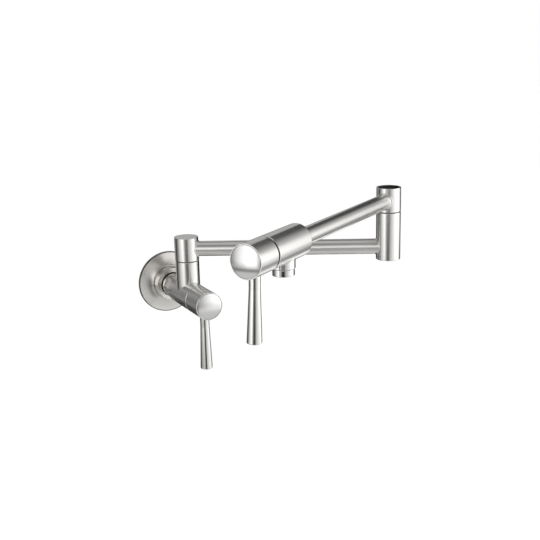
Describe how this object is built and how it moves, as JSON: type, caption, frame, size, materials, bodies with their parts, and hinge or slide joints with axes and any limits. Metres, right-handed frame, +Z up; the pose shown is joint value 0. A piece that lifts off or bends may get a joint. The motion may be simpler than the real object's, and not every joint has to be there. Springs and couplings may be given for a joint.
{
  "type": "wall mounted pot filler",
  "caption": "Wall mounted swing tap with two folding arms, a round wall flange, and a quarter turn lever valve at the wall and at the spout.",
  "frame": {"origin": "centre of the wall flange's back face, on the wall plane and on the axis of the supply", "axes": "+Z up, the wall is the plane Y = 0, +Y points into the wall and the tap stands out towards -Y, +X is to the right for someone who faces the wall"},
  "size_m": [0.2646, 0.3385, 0.1876],
  "materials": {
    "brushed_nickel": "brushed nickel over brass, satin",
    "brass": "machined",
    "stainless": "plain stainless steel",
    "rubber": "matt black",
    "slip_plastic": "dark acetal",
    "ceramic": "lapped white ceramic",
    "white_plastic": "plain white"
  },
  "bodies": {
    "wall_side": {"wall_flange": "brushed_nickel", "flange_gasket": "rubber", "flange_grip_ring": "rubber", "supply_connector": "brass", "inlet_screen": "stainless", "union_washer": "rubber", "union_nut": "brushed_nickel", "inlet_valve_body": "brushed_nickel", "riser_tube": "brushed_nickel", "inlet_cartridge_seal": "rubber", "inlet_fixed_disc": "ceramic", "inlet_cartridge_housing": "brass", "inlet_cartridge_o_ring": "rubber", "inlet_cartridge_nut": "brass", "shoulder_pivot": "brass", "shoulder_lower_o_ring": "rubber", "shoulder_upper_o_ring": "rubber", "shoulder_thrust_washer": "slip_plastic", "shoulder_retaining_washer": "stainless", "shoulder_retaining_screw": "stainless"},
    "first_arm": {"shoulder_head": "brushed_nickel", "shoulder_cap": "brushed_nickel", "first_arm_tube": "brushed_nickel", "elbow_body": "brushed_nickel", "elbow_pivot": "brass", "elbow_lower_o_ring": "rubber", "elbow_upper_o_ring": "rubber", "elbow_thrust_washer": "slip_plastic", "elbow_retaining_washer": "stainless", "elbow_retaining_screw": "stainless"},
    "second_arm": {"elbow_head": "brushed_nickel", "elbow_cap": "brushed_nickel", "second_arm_tube": "brushed_nickel", "outlet_valve_body": "brushed_nickel", "outlet_neck": "brushed_nickel", "aerator_housing": "brushed_nickel", "aerator_insert": "white_plastic", "aerator_washer": "rubber", "outlet_cartridge_seal": "rubber", "outlet_fixed_disc": "ceramic", "outlet_cartridge_housing": "brass", "outlet_cartridge_o_ring": "rubber", "outlet_cartridge_nut": "brass"},
    "inlet_handle": {"inlet_handle_hub": "brushed_nickel", "inlet_handle_cap": "brushed_nickel", "inlet_handle_screw": "stainless", "inlet_lever": "brushed_nickel", "inlet_lever_stud": "stainless", "inlet_spindle": "brass", "inlet_spindle_o_ring": "rubber", "inlet_moving_disc": "ceramic"},
    "outlet_handle": {"outlet_handle_hub": "brushed_nickel", "outlet_handle_cap": "brushed_nickel", "outlet_handle_screw": "stainless", "outlet_lever": "brushed_nickel", "outlet_lever_stud": "stainless", "outlet_spindle": "brass", "outlet_spindle_o_ring": "rubber", "outlet_moving_disc": "ceramic"}
  },
  "joints": [
    {"name": "shoulder_swivel", "type": "hinge", "parent": "wall_side", "child": "first_arm", "pos_m": [0, -0.063, 0.0508], "axis": [0, 0, 1], "range_deg": [-150.1, 29.9]},
    {"name": "elbow_swivel", "type": "hinge", "parent": "first_arm", "child": "second_arm", "pos_m": [0.18725, -0.17067, 0.1005], "axis": [0, 0, 1], "range_deg": [-62.4, 297.6]},
    {"name": "inlet_lever_turn", "type": "hinge", "parent": "wall_side", "child": "inlet_handle", "pos_m": [0, -0.0895, 0], "axis": [0, -1, 0], "range_deg": [0, 90]},
    {"name": "outlet_lever_turn", "type": "hinge", "parent": "second_arm", "child": "outlet_handle", "pos_m": [-0.03203, -0.31037, 0.1005], "axis": [-0.8434, -0.5373, 0], "range_deg": [0, 90]}
  ]
}
